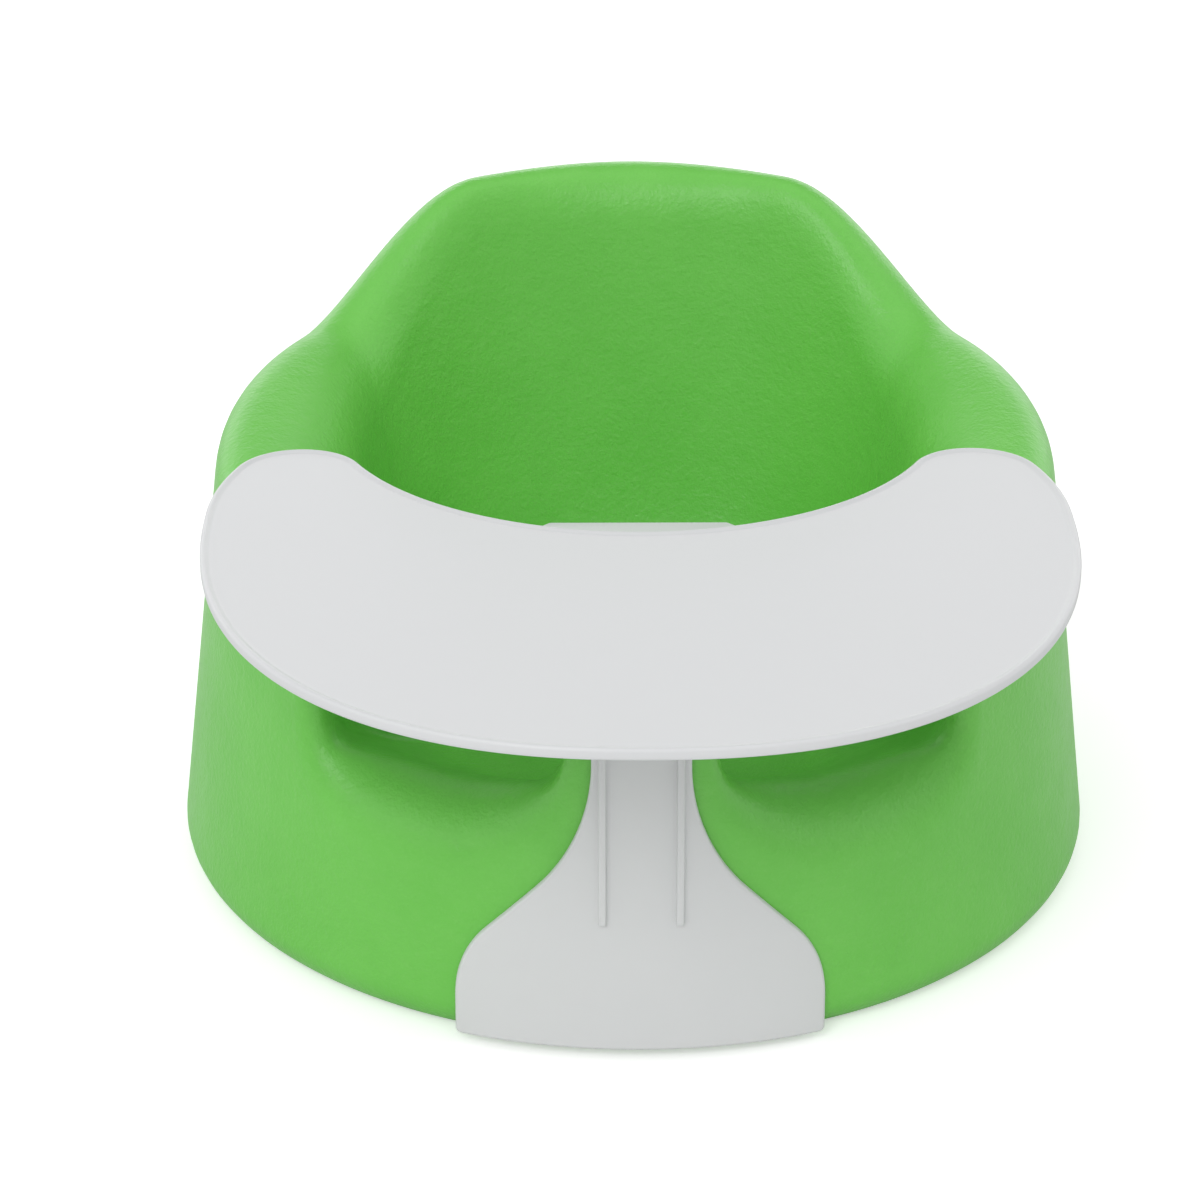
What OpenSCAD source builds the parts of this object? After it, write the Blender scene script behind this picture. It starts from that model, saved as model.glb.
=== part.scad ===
// Baby floor seat: a moulded foam tub with two leg openings and a pommel,
// and a lift-off tray that hooks over the pommel and stands on a front stem.
// Millimetres. +Z is up, -Y is the front, +X is the right of a viewer in front.
// The origin is the centre of the base, on the floor.

/* [Seat body] */
// Diameter of the base at its widest
base_d = 380; // [366:1:400]
// Radius of the rounding round the bottom edge
bottom_r = 13; // [8:1:18]
// Lean of the outer wall towards the middle, in degrees
wall_draft = 7.25; // [6:0.25:8]
// Height of the backrest at its middle
back_h = 245; // [230:1:260]
// How much lower the backrest's top corners are
back_crown = 2; // [0:0.5:5]
// Height of the arms where they run into the backrest
arm_h = 191; // [186:1:193]
// Height of the arms' front ends, beside the leg openings
arm_front_h = 169; // [160:1:170]
// Height of the pommel between the leg openings
pommel_h = 172; // [170:1:178]
// Height of the seat pan
pan_h = 58; // [45:1:66]

/* [Rim and bowl] */
// Height of the rounding on the outside of the rim
rim_rise = 15; // [10:1:18]
// Width of the rounding on the outside of the rim
rim_out = 17; // [12:1:20]
// How far the backrest's rim falls towards the bowl
rim_fall = 14; // [8:1:15]
// How far the arms' tops fall towards the bowl
arm_fall = 22; // [16:1:26]
// How far the pommel's top falls towards the bowl
pommel_fall = 5; // [3:1:8]
// Half the width of the bowl, at the bottom of the rim
bowl_half_w = 113; // [108:1:118]
// Depth of the bowl in front of its middle, at the bottom of the rim
bowl_front_l = 121; // [116:1:126]
// Depth of the bowl behind its middle, at the bottom of the rim
bowl_back_l = 132; // [126:1:136]
// How square the bowl is in plan: 2 is round
bowl_square = 3; // [2.8:0.1:3.6]
// Distance from the centre to the pommel's rear face
pommel_back = 95; // [91:1:100]

/* [Leg openings] */
// Direction of each leg opening from the front, in degrees
leg_angle = 26.5; // [26:0.5:28]
// Half the width of a leg opening, in degrees
leg_half_angle = 17.5; // [16:0.5:18]
// Height of the lip that the thigh lies on
leg_lip_h = 87.5; // [80:0.5:92]
// Height where the round lip runs out into straight sides
leg_spring_h = 115; // [108:1:122]
// How square the round lip is: 2 is an ellipse
leg_square = 2.5; // [2:0.1:3]
// Rounding of the edges down the sides of a leg opening
leg_round = 9; // [5:0.5:11]

/* [Tray] */
// Half the width of the tray
tray_half_w = 164; // [160:1:170]
// Distance from the seat's centre to the tray's front edge
tray_front = 297; // [285:1:310]
// Distance from the seat's centre to where the tray is widest
tray_wide_y = 100; // [94:1:112]
// How square the tray's front corners are: 2 is an ellipse
tray_square = 2.3; // [2.1:0.01:2.6]
// Radius of the cut-out for the child's body
belly_r = 122; // [118:1:124]
// Radius of the rounded ears beside the cut-out
ear_r = 25.5; // [23:0.5:27]
// Distance of each ear's centre from the middle
ear_x = 132; // [129:1:134]
// Thickness of the tray's deck
deck_t = 3; // [2.5:0.1:4]
// Height of the raised bead round the deck
bead_h = 0.8; // [0.4:0.1:2]
// Width of the raised bead
bead_w = 3.6; // [3.2:0.1:6]
// How far the tray's edge reaches below the deck's underside
skirt_drop = 0.6; // [0.4:0.1:2.4]
// Thickness of the tray's edge
skirt_t = 3; // [2:0.1:3.2]

/* [Stem and apron] */
// Thickness of the stem and the apron
apron_t = 3; // [2.5:0.1:4]
// Height of the apron's bottom edge above the floor
apron_foot = 4; // [2:0.5:8]
// Half the width of the apron at its foot
apron_half_w = 70; // [64:1:76]
// Radius of the apron's outward curve, above its foot
apron_bulge_r = 41; // [36:1:46]
// Height at which that curve begins
apron_bulge_z = 19; // [15:1:22]
// Half the width of the stem
stem_half_w = 18.5; // [17:0.5:19.5]
// Radius of the curve between the stem and the apron
stem_flare_r = 70; // [64:1:76]
// Rounding of the apron's bottom corners
apron_corner_r = 2; // [1:0.5:6]
// Distance of each stiffening rib from the middle
rib_x = 14.5; // [13:0.5:15]
// Width of a stiffening rib
rib_w = 3; // [2:0.25:3.5]
// How far a stiffening rib stands out
rib_h = 2.5; // [1.5:0.25:3.5]
// Height of the ribs' lower ends
rib_foot = 55; // [48:1:62]

/* [Hook and fasteners] */
// Thickness of the hook's plate and of the stem's tab
plate_t = 3; // [2.6:0.1:3.6]
// Half the width of the hook's plate
hook_half_w = 40; // [37:1:44]
// Chamfer on the hook's two rear corners
hook_chamfer = 6; // [3:0.5:9]
// Half the width of the hook's rear leg
hook_leg_half_w = 22; // [18:1:24]
// Length of the hook's rear leg, behind the pommel
hook_leg_l = 38; // [30:1:42]
// Clearance between the hook's rear leg and the pommel
hook_clear = 1.4; // [1.2:0.1:2]
// Distance of the hook's outer screws from the middle
hook_screw_x = 28; // [24:1:32]
// Distance from the tray's cut-out to the hook's screws
hook_screw_inset = 10.5; // [9:0.5:12]
// Distance from the hook's screws to its front edge
hook_screw_edge = 8.5; // [7:0.5:10]
// Gap between the hook's plate and the stem's tab
tab_gap = 2; // [0.5:0.5:4]
// Distance of the stem's two screws from the middle
stem_screw_x = 10; // [8:0.5:12]
// Clearance between the foam and the hard parts
fit_clear = 0.4; // [0.3:0.05:0.6]
// Radius of the screws' thread
screw_r = 1.5; // [1.25:0.05:1.75]
// Length of the screws below their heads
screw_l = 6; // [5:0.25:6.5]
// Radius of the screws' heads
screw_head_r = 3; // [2.6:0.1:3.4]
// Height of the screws' heads
screw_head_h = 1.6; // [1.2:0.1:1.7]
// Radius of the bosses under the deck
boss_r = 4; // [3.5:0.1:4.5]
// Height of the bosses under the deck
boss_h = 5.6; // [5.2:0.1:6.5]

/* [Hidden] */
foam_green = [0.33, 0.72, 0.27];
tray_white = [0.86, 0.87, 0.87];
screw_grey = [0.62, 0.63, 0.65];
$fn = 48;

over = 1;
base_r = base_d / 2;
leg_in = leg_angle - leg_half_angle;
leg_out = leg_angle + leg_half_angle;
leg_flank = 40;
leg_land = 5;
leg_corner = 3;
leg_round_turn = leg_round / base_r * 180 / PI;
leg_round_end = leg_out + 20;
arm_span = [45, 125];
back_rise = [119, 154];
crown_span = [145, 180];
rim_blend = 14;
pommel_side = [15, 26];
leg_turn = 18;
leg_turn_end = 75;
bowl_wall_power = 0.67;
bowl_floor_power = 0.77;
well_wall_w = 32;
well_side = [64, 118];
pan_foot = 0.5;
arm_side = [40, 80, 125, 165];
thigh_start = -0.3;
thigh_end = 0.8;
pan_cap = 0.18;
bottom_steps = 4;
wall_steps = 7;
rim_steps = 4;
bowl_steps = 7;

plate_z = pommel_h + fit_clear;
tab_z = plate_z + plate_t;
deck_under = tab_z + boss_h;
deck_z = deck_under + deck_t;
skirt_z = deck_under - skirt_drop;
skirt_round = 1;
belly_y = 2;
tray_half_l = tray_front - tray_wide_y;
ear_y = belly_y - sqrt(pow(belly_r + ear_r, 2) - ear_x * ear_x);
ear_turn = asin(ear_x / (belly_r + ear_r));
side_dx = tray_half_w - ear_x;
side_dy = ear_y + tray_wide_y;
side_r = (side_dx * side_dx + side_dy * side_dy - ear_r * ear_r) / (2 * (side_dx - ear_r));
side_turn = atan2(side_dy, side_r - side_dx);

rib_root = 0.5;
screw_hole_r = screw_r + 0.25;
pilot_r = screw_r + 0.05;
counterbore_r = screw_head_r + 0.2;
counterbore_h = screw_head_h + 0.2;
screw_seat_z = plate_z + counterbore_h;
pilot_top = screw_seat_z + screw_l + 0.3;
hook_screw_y = -(belly_r - belly_y + hook_screw_inset);
hook_front = hook_screw_edge - hook_screw_y;
tab_back = hook_front + tab_gap;
tab_front = wall_r(plate_z) + fit_clear + rib_root;
stem_screw_y = -(tab_back + tab_front) / 2;
stem_screws = [for (s = [-1, 1]) [s * stem_screw_x, stem_screw_y]];
hook_screws = [for (s = [-1, 0, 1]) [s * hook_screw_x, hook_screw_y]];
screw_places = concat(stem_screws, hook_screws);

// ---- shared helpers ----

// 0 before a, 1 after b, with a smooth run between
function ease(a, b, x) = let (u = min(1, max(0, (x - a) / (b - a)))) u * u * (3 - 2 * u);

// The smaller of two heights, with the corner between them rounded
function soft_min(a, b, k) = let (h = max(k - abs(a - b), 0) / k) min(a, b) - h * h * k / 4;

// count values that start at a and stop short of b
function spread(a, b, count) = [for (i = [0:count - 1]) a + (b - a) * i / count];

// Closed skin over columns of points that run anticlockwise round the shape, each from the
// edge of the bottom face, up the outside, to the edge of the top face. The two faces are
// cut into triangles about the middle, or as caps says, by the columns' numbers.
module loft(columns, caps = undef) {
    count = len(columns);
    rows = len(columns[0]);
    middle = count * rows;
    middles = [[0, 0, columns[0][0][2]], [0, 0, columns[0][rows - 1][2]]];
    function at(i, j) = (i % count) * rows + j;
    sides = [for (i = [0:count - 1], j = [0:rows - 2])
        each [[at(i, j), at(i + 1, j + 1), at(i + 1, j)], [at(i, j), at(i, j + 1), at(i + 1, j + 1)]]];
    bottom = is_undef(caps)
        ? [for (i = [0:count - 1]) [at(i, 0), at(i + 1, 0), middle]]
        : [for (f = caps) [at(f[0], 0), at(f[1], 0), at(f[2], 0)]];
    top = is_undef(caps)
        ? [for (i = [0:count - 1]) [at(i + 1, rows - 1), at(i, rows - 1), middle + 1]]
        : [for (f = caps) [at(f[2], rows - 1), at(f[1], rows - 1), at(f[0], rows - 1)]];
    polyhedron(
        concat([for (c = columns) each c], is_undef(caps) ? middles : []),
        concat(sides, bottom, top),
        convexity = 8
    );
}

// ---- seat body ----

// Radius of the outer wall at height z
function wall_r(z) = base_r - bottom_r + bottom_r / cos(wall_draft) - (z - bottom_r) * tan(wall_draft);

// Edge of a leg opening, at the angle t from the front
function leg_edge(t) = let (off = abs(t - leg_angle), u = off / leg_half_angle)
    u < 1 ? leg_spring_h - (leg_spring_h - leg_lip_h) * pow(1 - pow(u, leg_square), 1 / leg_square)
          : leg_spring_h + (off - leg_half_angle) * leg_flank;

// Height that the rim would have without its leg openings, at the angle t from the front
function land_h(t) = let (
        arm = arm_front_h + (arm_h - arm_front_h) * ease(arm_span[0], arm_span[1], t),
        back = (back_h - back_crown - arm_h) * ease(back_rise[0], back_rise[1], t)
            + back_crown * ease(crown_span[0], crown_span[1], t)
    ) pommel_h + (arm + back - pommel_h) * ease(leg_angle - leg_land, leg_angle + leg_land, t);

// Height of the rim, at the angle t from the front
function rim_h(t) = soft_min(land_h(t), leg_edge(t), rim_blend);

// How far the rim falls towards the bowl, at the angle t from the front
function rim_drop(t) = pommel_fall
    + (rim_fall - pommel_fall) * ease(leg_in - leg_corner, leg_in + leg_corner, t)
    + (arm_fall - rim_fall) * (ease(arm_side[0], arm_side[1], t) - ease(arm_side[2], arm_side[3], t));

// How far down the thigh's channel lies between the lip, at q = 0, and the pan
function thigh_drop(q) = let (before = ease(thigh_start, thigh_end, 0))
    (ease(thigh_start, thigh_end, q) - before) / (1 - before);

// How far the edges of a leg opening lie back in the foam from its sides, at the angle t
function edge_turn(t) = t + leg_round_turn * (t < leg_angle
    ? ease(leg_in, leg_angle, t) - ease(0, leg_in, t)
    : ease(leg_angle, leg_out, t) - ease(leg_out, leg_round_end, t));

// The leg openings turn to run straight forward, so the bowl's side of each is further round
function bowl_turn(t) = t < leg_turn_end ? t + leg_turn * sin(180 * t / leg_turn_end) : t;

// Radius of the bowl at the bottom of the rim: a rounded square, with the pommel's flat rear face
function bowl_r(t) = let (
        square = pow(pow(abs(sin(t)) / bowl_half_w, bowl_square)
            + pow(abs(cos(t)) / (t < 90 ? bowl_front_l : bowl_back_l), bowl_square), -1 / bowl_square),
        flat = pommel_back / cos(min(t, pommel_side[1]))
    ) flat + (square - flat) * ease(pommel_side[0], pommel_side[1], t);

function polar(r, t, z) = [r * sin(t), -r * cos(t), z];

// One column of points, from the bottom edge over the rim to the middle of the pan
function seat_column(turn) = let (
        side = turn < 0 ? -1 : 1,
        t = abs(turn),
        h = rim_h(t),
        fall = rim_drop(t),
        outer_t = edge_turn(t),
        wall_foot = bottom_r * (1 + sin(wall_draft)),
        wall_top = h - rim_rise,
        crest_r = wall_r(wall_top) - rim_out,
        inner_t = bowl_turn(outer_t),
        inner_r = bowl_r(inner_t),
        inner_z = h - fall,
        foot_r = inner_r - well_wall_w
            + (pan_foot * inner_r - inner_r + well_wall_w) * ease(well_side[0], well_side[1], inner_t),
        pan_r = inner_r * pan_cap,
        inside = concat(
            [for (i = [1:rim_steps]) let (a = i * 90 / rim_steps)
                polar(crest_r + (inner_r - crest_r) * sin(a), side * (t + (inner_t - t) * sin(a)),
                    h - fall * (1 - cos(a)))],
            [for (i = [1:bowl_steps]) let (a = i * 90 / bowl_steps)
                polar(foot_r + (inner_r - foot_r) * pow(cos(a), bowl_wall_power), side * inner_t,
                    inner_z - (inner_z - pan_h) * pow(sin(a), bowl_floor_power))],
            [polar(pan_r, side * inner_t, pan_h)]
        ),
        thigh = [for (i = [1:len(inside)]) let (q = i / len(inside))
            polar(crest_r + (pan_r - crest_r) * q, side * (t + (inner_t - t) * ease(0, 0.5, q)),
                h - (h - pan_h) * thigh_drop(q))],
        open_share = ease(0, 1, (land_h(t) - h) / (land_h(t) - leg_lip_h))
    ) concat(
        [for (i = [0:bottom_steps]) let (a = -90 + i * (90 + wall_draft) / bottom_steps)
            polar(base_r - bottom_r + bottom_r * cos(a), side * outer_t, bottom_r * (1 + sin(a)))],
        [for (i = [1:wall_steps]) let (z = wall_foot + (wall_top - wall_foot) * i / wall_steps)
            polar(wall_r(z), side * outer_t, z)],
        [for (i = [1:rim_steps]) let (a = i * 90 / rim_steps)
            polar(crest_r + rim_out * cos(a), side * (outer_t + (t - outer_t) * sin(a)),
                wall_top + rim_rise * sin(a))],
        [for (i = [0:len(inside) - 1]) inside[i] + open_share * (thigh[i] - inside[i])]
    );

// Directions of the columns on the right half, closer together at a leg opening's sides
half_turns = concat(
    spread(0, leg_in - leg_corner, 3),
    spread(leg_in - leg_corner, leg_in + leg_corner, 8),
    spread(leg_in + leg_corner, leg_out - leg_corner, 13),
    spread(leg_out - leg_corner, leg_out + leg_corner, 8),
    spread(leg_out + leg_corner, 180, 27)
);

module seat_foam() {
    last = len(half_turns) - 1;
    color(foam_green) loft([
        for (t = half_turns) seat_column(t),
        seat_column(180),
        for (i = [last:-1:1]) seat_column(-half_turns[i])
    ]);
}

// ---- tray ----

// Right half of the tray's outline, from the middle of the cut-out to the middle of
// the front, as [point, outward direction]
tray_half = concat(
    [for (i = [0:13]) let (a = ear_turn * i / 14)
        [[belly_r * sin(a), belly_y - belly_r * cos(a)], [-sin(a), cos(a)]]],
    [for (i = [0:13]) let (a = 90 + ear_turn - (90 + ear_turn - side_turn) * i / 14)
        [[ear_x + ear_r * cos(a), ear_y + ear_r * sin(a)], [cos(a), sin(a)]]],
    [for (i = [0:3]) let (a = side_turn * (1 - i / 4))
        [[tray_half_w - side_r * (1 - cos(a)), side_r * sin(a) - tray_wide_y], [cos(a), sin(a)]]],
    [for (i = [0:26]) let (
            a = 90 * i / 26,
            x = pow(cos(a), 2 / tray_square),
            y = pow(sin(a), 2 / tray_square),
            nx = pow(x, tray_square - 1) / tray_half_w,
            ny = pow(y, tray_square - 1) / tray_half_l,
            n = sqrt(nx * nx + ny * ny)
        ) [[tray_half_w * x, -tray_wide_y - tray_half_l * y], [nx / n, -ny / n]]]
);

// The whole outline, anticlockwise
tray_last = len(tray_half) - 1;
tray_outline = concat(
    [for (i = [0:tray_last]) let (p = tray_half[i]) [[-p[0][0], p[0][1]], [-p[1][0], p[1][1]]]],
    [for (i = [tray_last - 1:-1:1]) tray_half[i]]
);

// Triangles from the cut-out's side of each half to its outer side
tray_caps = let (
        pairs = [for (i = [0:tray_last / 2 - 1]) each [
            [i, i + 1, tray_last - i],
            if (i + 1 < tray_last - i - 1) [i + 1, tray_last - i - 1, tray_last - i]
        ]]
    ) concat(
        pairs,
        [for (f = pairs) [for (k = [2:-1:0]) (2 * tray_last - f[k]) % (2 * tray_last)]]
    );

// Section through the tray's edge: [distance in from the outline, height]
tray_edge = [
    [skirt_t, deck_under],
    [skirt_t, skirt_z],
    [skirt_round, skirt_z],
    [0, skirt_z + skirt_round],
    [0, deck_z - skirt_round / 2],
    [0.18 * bead_w, deck_z + 0.7 * bead_h],
    [0.42 * bead_w, deck_z + bead_h],
    [0.72 * bead_w, deck_z + 0.8 * bead_h],
    [bead_w, deck_z]
];

module tray_deck() {
    color(tray_white) difference() {
        union() {
            loft([for (p = tray_outline) [for (e = tray_edge) [each p[0] - e[0] * p[1], e[1]]]], tray_caps);
            for (p = screw_places) {
                translate([p[0], p[1], tab_z]) cylinder(r = boss_r, h = boss_h + over);
            }
        }
        for (p = screw_places) {
            translate([p[0], p[1], tab_z - over]) cylinder(r = pilot_r, h = pilot_top - tab_z + over);
        }
    }
}

// ---- stem ----

// A shell that follows the seat's outer wall, its faces from lo to hi outside the foam
module wall_shell(lo, hi, z0, z1) {
    rotate_extrude($fn = 96)
        polygon([[wall_r(z0) + lo, z0], [wall_r(z0) + hi, z0], [wall_r(z1) + hi, z1], [wall_r(z1) + lo, z1]]);
}

// The parts of a shell that a front outline covers
module front_cut() {
    rotate([90, 0, 0]) linear_extrude(height = base_d) children();
}

// Right edge of the stem and apron, from the foot up: a bottom corner, the apron's outward
// curve, a straight run at the angle flare_turn, and the inward curve into the stem, which
// ends against the underside of the deck
flare_turn = 45;
flare_x = stem_half_w + stem_flare_r * (1 - cos(flare_turn));
bulge_x = apron_half_w - apron_bulge_r * (1 - cos(flare_turn));
bulge_z = apron_bulge_z + apron_bulge_r * sin(flare_turn);
flare_z = bulge_z + (bulge_x - flare_x) * tan(flare_turn) + stem_flare_r * sin(flare_turn);
apron_edge = concat(
    [for (i = [0:4]) let (a = -90 + 90 * i / 4)
        [apron_half_w - apron_corner_r * (1 - cos(a)), apron_foot + apron_corner_r * (1 + sin(a))]],
    [for (i = [0:8]) let (a = flare_turn * i / 8)
        [apron_half_w - apron_bulge_r * (1 - cos(a)), apron_bulge_z + apron_bulge_r * sin(a)]],
    [for (i = [0:10]) let (a = flare_turn * (1 - i / 10))
        [stem_half_w + stem_flare_r * (1 - cos(a)), flare_z - stem_flare_r * sin(a)]],
    [[stem_half_w, deck_under + over]]
);
apron_outline = concat(
    apron_edge,
    [for (i = [len(apron_edge) - 1:-1:0]) [-apron_edge[i][0], apron_edge[i][1]]]
);

module counterbored_hole() {
    translate([0, 0, plate_z - over]) cylinder(r = screw_hole_r, h = plate_t + 2 * over);
    translate([0, 0, plate_z - over]) cylinder(r = counterbore_r, h = counterbore_h + over);
}

module front_stem() {
    color(tray_white) difference() {
        union() {
            intersection() {
                wall_shell(fit_clear, fit_clear + apron_t, apron_foot, deck_under);
                front_cut() polygon(apron_outline);
            }
            intersection() {
                wall_shell(fit_clear + rib_root, fit_clear + apron_t + rib_h, rib_foot, deck_under);
                front_cut() for (s = [-1, 1]) {
                    translate([s * rib_x - rib_w / 2, 0]) square([rib_w, deck_under + over]);
                }
            }
            translate([-stem_half_w, -tab_front, plate_z])
                cube([2 * stem_half_w, tab_front - tab_back, plate_t]);
        }
        for (p = stem_screws) {
            translate([p[0], p[1], 0]) counterbored_hole();
        }
    }
}

// ---- hook ----

module pommel_hook() {
    leg_y = hook_clear - pommel_back;
    rear_y = leg_y + plate_t;
    color(tray_white) difference() {
        union() {
            translate([0, 0, plate_z]) linear_extrude(height = plate_t) polygon([
                [-hook_half_w, -hook_front], [hook_half_w, -hook_front],
                [hook_half_w, rear_y - hook_chamfer], [hook_half_w - hook_chamfer, rear_y],
                [hook_chamfer - hook_half_w, rear_y], [-hook_half_w, rear_y - hook_chamfer]
            ]);
            translate([-hook_leg_half_w, leg_y, plate_z - hook_leg_l])
                cube([2 * hook_leg_half_w, plate_t, hook_leg_l + plate_t / 2]);
        }
        for (p = hook_screws) {
            translate([p[0], p[1], 0]) counterbored_hole();
        }
    }
}

// ---- screws ----

module screw() {
    translate([0, 0, screw_seat_z - screw_head_h]) cylinder(r = screw_head_r, h = screw_head_h);
    translate([0, 0, screw_seat_z - screw_head_h / 2]) cylinder(r = screw_r, h = screw_l + screw_head_h / 2);
}

module tray_screws() {
    color(screw_grey) for (p = screw_places) {
        translate([p[0], p[1], 0]) screw();
    }
}

seat_foam();
tray_deck();
front_stem();
pommel_hook();
tray_screws();
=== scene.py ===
import math

import bmesh
import bpy
import numpy as np
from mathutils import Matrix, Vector


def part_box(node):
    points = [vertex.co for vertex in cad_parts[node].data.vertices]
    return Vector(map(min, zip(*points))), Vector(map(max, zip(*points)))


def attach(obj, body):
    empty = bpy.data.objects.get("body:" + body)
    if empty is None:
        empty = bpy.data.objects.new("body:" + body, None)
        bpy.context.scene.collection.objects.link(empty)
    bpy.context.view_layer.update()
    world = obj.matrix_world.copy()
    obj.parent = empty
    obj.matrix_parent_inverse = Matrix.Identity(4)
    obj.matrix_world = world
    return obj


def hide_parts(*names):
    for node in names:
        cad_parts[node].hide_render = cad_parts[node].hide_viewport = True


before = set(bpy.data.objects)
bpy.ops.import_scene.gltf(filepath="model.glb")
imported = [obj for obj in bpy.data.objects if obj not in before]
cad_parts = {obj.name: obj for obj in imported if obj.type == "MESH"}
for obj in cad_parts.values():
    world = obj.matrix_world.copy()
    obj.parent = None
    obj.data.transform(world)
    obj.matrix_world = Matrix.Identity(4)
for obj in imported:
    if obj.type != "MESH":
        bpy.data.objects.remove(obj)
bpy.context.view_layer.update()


# ---- Camera ----
# A long lens in front of the seat and above it, 1.35 m away, as for a catalogue picture.

camera_place = Vector((-0.02145, -1.22887, 0.67038))
camera_target = Vector((-0.01417, 0, 0.10051))

camera = bpy.data.objects.new("camera", bpy.data.cameras.new("camera"))
camera.data.lens = 97.29
camera.data.sensor_width = 36
camera.location = camera_place
camera.rotation_euler = (camera_target - camera_place).to_track_quat("-Z", "Y").to_euler()
bpy.context.scene.collection.objects.link(camera)
bpy.context.scene.camera = camera


# ---- Foam seat ----
# One moulding of integral-skin polyurethane foam: a tub with a raised back, two leg openings
# and a pommel between them. The skin forms against the mould, so every edge is round, and the
# surface is matte with a fine pebble. A turn is an angle round the seat from its front, in degrees.

base_radius = 0.190
back_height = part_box("seat_foam")[1].z
back_rise_turns = (120, 153.2)
back_crown = 0.0026
crown_turns = (145, 180)
arm_height = 0.191
arm_front_height = 0.169
arm_rise_turns = (45, 125)
pommel_height = 0.172
pan_height = 0.058
bottom_round = 0.013
wall_lean = math.radians(7.25)
rim_rise = 0.015
rim_width = 0.017
rim_in_end = math.radians(80)
rim_fall = 0.014
arm_fall = 0.034
arm_fall_turns = (40, 80)
back_fall = 0.024
back_fall_turns = (125, 165)
pommel_fall = 0.005
pommel_fall_blend = 3
bowl_half_width = 0.113
bowl_front_depth = 0.121
bowl_back_depth = 0.129
bowl_squareness = 2.8
bowl_wall_power = 0.67
bowl_floor_power = 0.77
bowl_foot_share = 0.68
bowl_foot_turns = (64, 118)
bowl_swing = 18
bowl_swing_end = 75
pommel_rear = 0.095
pommel_rear_turns = (15, 26)
leg_turn = 27.3
leg_half_turn = 18.3
leg_lip_height = 0.0895
leg_land_blend = 5
lip_rise_more = 0.011
lip_width_more = 0.013
lip_share_end = 0.75
side_width_less = 0.008
side_start_shares = (0.6, 0.95)
side_end_shares = (1.1, 1.5)
channel_fall = (-0.03, 0.48)
channel_swing_end = 0.32
wall_in_lean = 0.010
wall_in_lean_turns = (50, 90)
leg_spring_height = 0.115
leg_squareness_in = 1.9
leg_squareness_out = 2.9
leg_edge_round = 0.009
leg_edge_fade = 20
leg_flank = 0.040
leg_in = leg_turn - leg_half_turn
leg_out = leg_turn + leg_half_turn
leg_edge_turn = math.degrees(leg_edge_round / base_radius)
leg_edge_end = leg_out + leg_edge_fade
rim_blend = 0.014
well_wall = 0.032
pan_share = 0.18
seat_columns = 210
bottom_rows = 9
wall_rows = 30
rim_out_rows = 12
rim_in_rows = 14
bowl_rows = 44
pan_rows = 8
soften_passes = 6
soften_share = 0.5
corner_steps = 24
wall_steps = 20
rim_steps = 60
bowl_steps = 160
thigh_steps = 80
crest_steps = 3600


def ease(start, stop, value):
    """0 before start, 1 after stop, with a smooth run between."""
    share = min(1, max(0, (value - start) / (stop - start)))
    return share * share * (3 - 2 * share)


def spread(start, stop, steps):
    """The ends of so many even steps from start to stop."""
    return [start + (stop - start) * i / steps for i in range(steps + 1)]


def soft_min(first, second, width):
    """The smaller of two heights, with the corner between them rounded."""
    share = max(width - abs(first - second), 0) / width
    return min(first, second) - share * share * width / 4


def wall_radius(z):
    """Radius of the outer wall, which leans in, at a height."""
    round_top = base_radius - bottom_round + bottom_round / math.cos(wall_lean)
    return round_top - (z - bottom_round) * math.tan(wall_lean)


def leg_opening_height(turn):
    """Height of a leg opening's edge: its lip, its rounded sides and the flanks above them."""
    away = abs(turn - leg_turn)
    share = away / leg_half_turn
    if share < 1:
        squareness = leg_squareness_in if turn < leg_turn else leg_squareness_out
        drop = (1 - share ** squareness) ** (1 / squareness)
        return leg_spring_height - (leg_spring_height - leg_lip_height) * drop
    return leg_spring_height + (away - leg_half_turn) * leg_flank


def land_height(turn):
    """Height of the rim if it had no leg openings."""
    arm = arm_front_height + (arm_height - arm_front_height) * ease(*arm_rise_turns, turn)
    back = (back_height - back_crown - arm_height) * ease(*back_rise_turns, turn)
    back += back_crown * ease(*crown_turns, turn)
    past_leg = ease(leg_turn - leg_land_blend, leg_turn + leg_land_blend, turn)
    return pommel_height + (arm + back - pommel_height) * past_leg


def rim_height(turn):
    """Height of the rim, down into the leg openings."""
    return soft_min(land_height(turn), leg_opening_height(turn), rim_blend)


def opening_edge_turn(turn):
    """The edges down a leg opening's sides lie a little further round than the sides."""
    if turn < leg_turn:
        share = ease(leg_in, leg_turn, turn) - ease(0, leg_in, turn)
    else:
        share = ease(leg_turn, leg_out, turn) - ease(leg_out, leg_edge_end, turn)
    return turn + leg_edge_turn * share


def bowl_turn(turn):
    """A line of the skin swings away from the front on its way over the rim into the bowl."""
    if turn < bowl_swing_end:
        return turn + bowl_swing * math.sin(math.pi * turn / bowl_swing_end)
    return turn


def bowl_radius(turn):
    """Radius of the bowl's mouth, a rounded square that is flat behind the pommel."""
    across = (abs(math.sin(math.radians(turn))) / bowl_half_width) ** bowl_squareness
    depth = bowl_front_depth if turn < 90 else bowl_back_depth
    along = (abs(math.cos(math.radians(turn))) / depth) ** bowl_squareness
    square = (across + along) ** (-1 / bowl_squareness)
    flat = pommel_rear / math.cos(math.radians(min(turn, pommel_rear_turns[1])))
    return flat + (square - flat) * ease(*pommel_rear_turns, turn)


def polar(radius, turn, z):
    """A point at a distance from the seat's axis, a turn and a height."""
    return (radius * math.sin(math.radians(turn)), -radius * math.cos(math.radians(turn)), z)


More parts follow.
